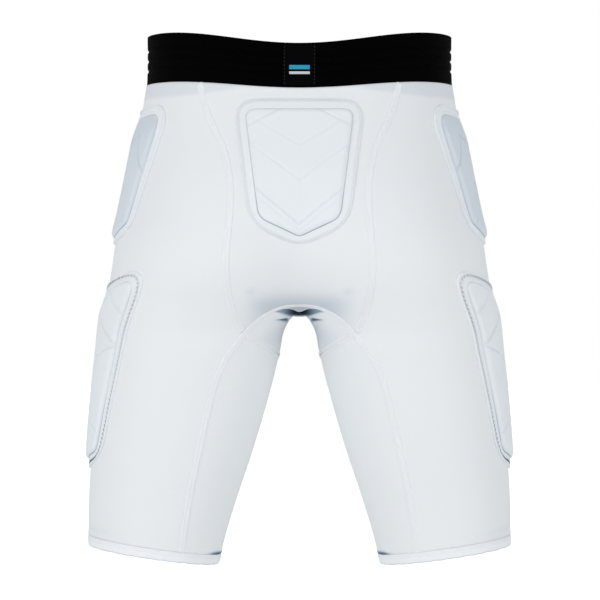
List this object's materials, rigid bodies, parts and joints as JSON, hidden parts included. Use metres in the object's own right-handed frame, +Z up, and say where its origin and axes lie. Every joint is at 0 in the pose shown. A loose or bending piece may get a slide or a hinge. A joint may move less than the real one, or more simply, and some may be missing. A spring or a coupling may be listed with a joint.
{
  "type": "padded compression shorts",
  "caption": "Compression shorts with a wide elastic waistband and moulded foam pads over the tailbone, hips and thighs.",
  "frame": {"origin": "middle of the waist opening, halfway up the waistband at the sides", "axes": "+Z up, +X towards the wearer's left, -Y towards the wearer's front"},
  "size_m": [0.41, 0.2635, 0.504],
  "materials": {
    "stretch_fabric": "smooth matte white stretch knit",
    "seam_tape": "flat white overlock stitching",
    "pad_cover": "white fabric moulded over foam",
    "elastic": "black ribbed elastic",
    "label": "black satin"
  },
  "bodies": {
    "root": {"waistband": "elastic", "waist_label": "label", "back_panel": "stretch_fabric", "front_panel": "stretch_fabric", "side_panel_left": "stretch_fabric", "side_panel_right": "stretch_fabric", "inner_panel_left": "stretch_fabric", "inner_panel_right": "stretch_fabric", "gusset": "stretch_fabric", "hem_left": "stretch_fabric", "hem_right": "stretch_fabric", "long_seam_tape_back_left": "seam_tape", "long_seam_tape_back_right": "seam_tape", "long_seam_tape_front_left": "seam_tape", "long_seam_tape_front_right": "seam_tape", "inner_seam_tape_back": "seam_tape", "inner_seam_tape_front": "seam_tape", "cross_seam_tape_left": "seam_tape", "cross_seam_tape_right": "seam_tape", "tailbone_pad_border": "pad_cover", "tailbone_pad_core": "pad_cover", "hip_pad_border_left": "pad_cover", "hip_pad_border_right": "pad_cover", "hip_pad_core_left": "pad_cover", "hip_pad_core_right": "pad_cover", "thigh_pad_border_left": "pad_cover", "thigh_pad_border_right": "pad_cover", "thigh_pad_core_left": "pad_cover", "thigh_pad_core_right": "pad_cover"}
  },
  "joints": []
}
